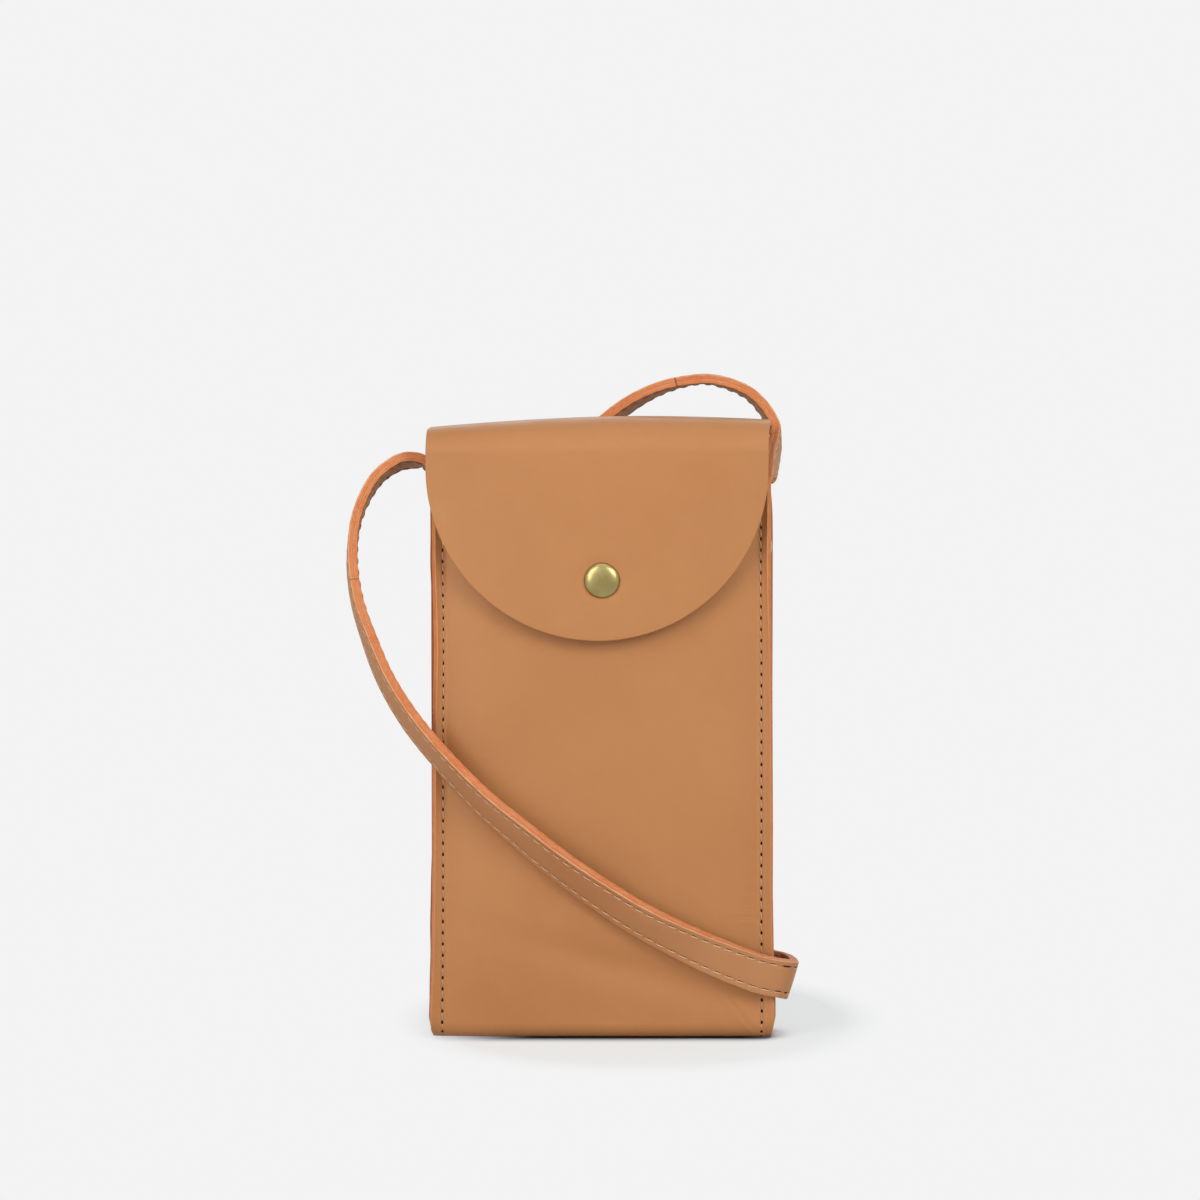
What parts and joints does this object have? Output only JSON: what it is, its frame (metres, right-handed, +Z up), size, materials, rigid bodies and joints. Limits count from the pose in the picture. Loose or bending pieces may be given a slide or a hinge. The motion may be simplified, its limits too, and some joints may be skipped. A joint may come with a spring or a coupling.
{
  "type": "phone pouch",
  "caption": "Upright leather phone pouch with a folding rounded flap, a press snap, channel side gussets and a flat sewn strap.",
  "frame": {"origin": "middle of the flat base that the pouch stands on", "axes": "+X runs across the front to its right side, the front with the flap faces -Y, and +Z is up"},
  "size_m": [0.1401, 0.0534, 0.2039],
  "materials": {
    "body_leather": "smooth vegetable-tanned leather, tan",
    "gusset_leather": "smooth vegetable-tanned leather, darker tan",
    "strap_face_leather": "smooth leather, greyish brown",
    "strap_backing_leather": "smooth leather, darker brown, with bright cut edges",
    "thread": "waxed sewing thread, pale tan",
    "aged_brass": "aged brass, satin",
    "brass": "plain brass",
    "spring_steel": "spring wire, bright"
  },
  "bodies": {
    "pouch": {"body_wrap": "body_leather", "gusset_left": "gusset_leather", "gusset_right": "gusset_leather", "seam_thread_left": "thread", "seam_thread_right": "thread", "seam_bobbin_left": "thread", "seam_bobbin_right": "thread", "snap_stud": "brass", "snap_post": "brass", "strap_face": "strap_face_leather", "strap_backing": "strap_backing_leather", "strap_thread_upper": "thread", "strap_thread_lower": "thread", "strap_bobbin_upper": "thread", "strap_bobbin_lower": "thread", "strap_rivet_heads": "aged_brass", "strap_rivet_posts": "brass"},
    "flap_bridge": {"flap_bridge": "body_leather"},
    "flap": {"flap_panel": "body_leather", "snap_cap": "aged_brass", "snap_socket": "brass", "snap_spring": "spring_steel"}
  },
  "joints": [
    {"name": "rear_fold", "type": "hinge", "parent": "pouch", "child": "flap_bridge", "pos_m": [0, 0.00836, 0.18836], "axis": [-1, 0, 0], "range_deg": [0, 90]},
    {"name": "front_fold", "type": "hinge", "parent": "flap_bridge", "child": "flap", "pos_m": [0, -0.01665, 0.18815], "axis": [-1, 0, 0], "range_deg": [0, 90]}
  ],
  "couplings": [
    {"joint": "front_fold", "follows": "rear_fold", "ratio": 1}
  ]
}
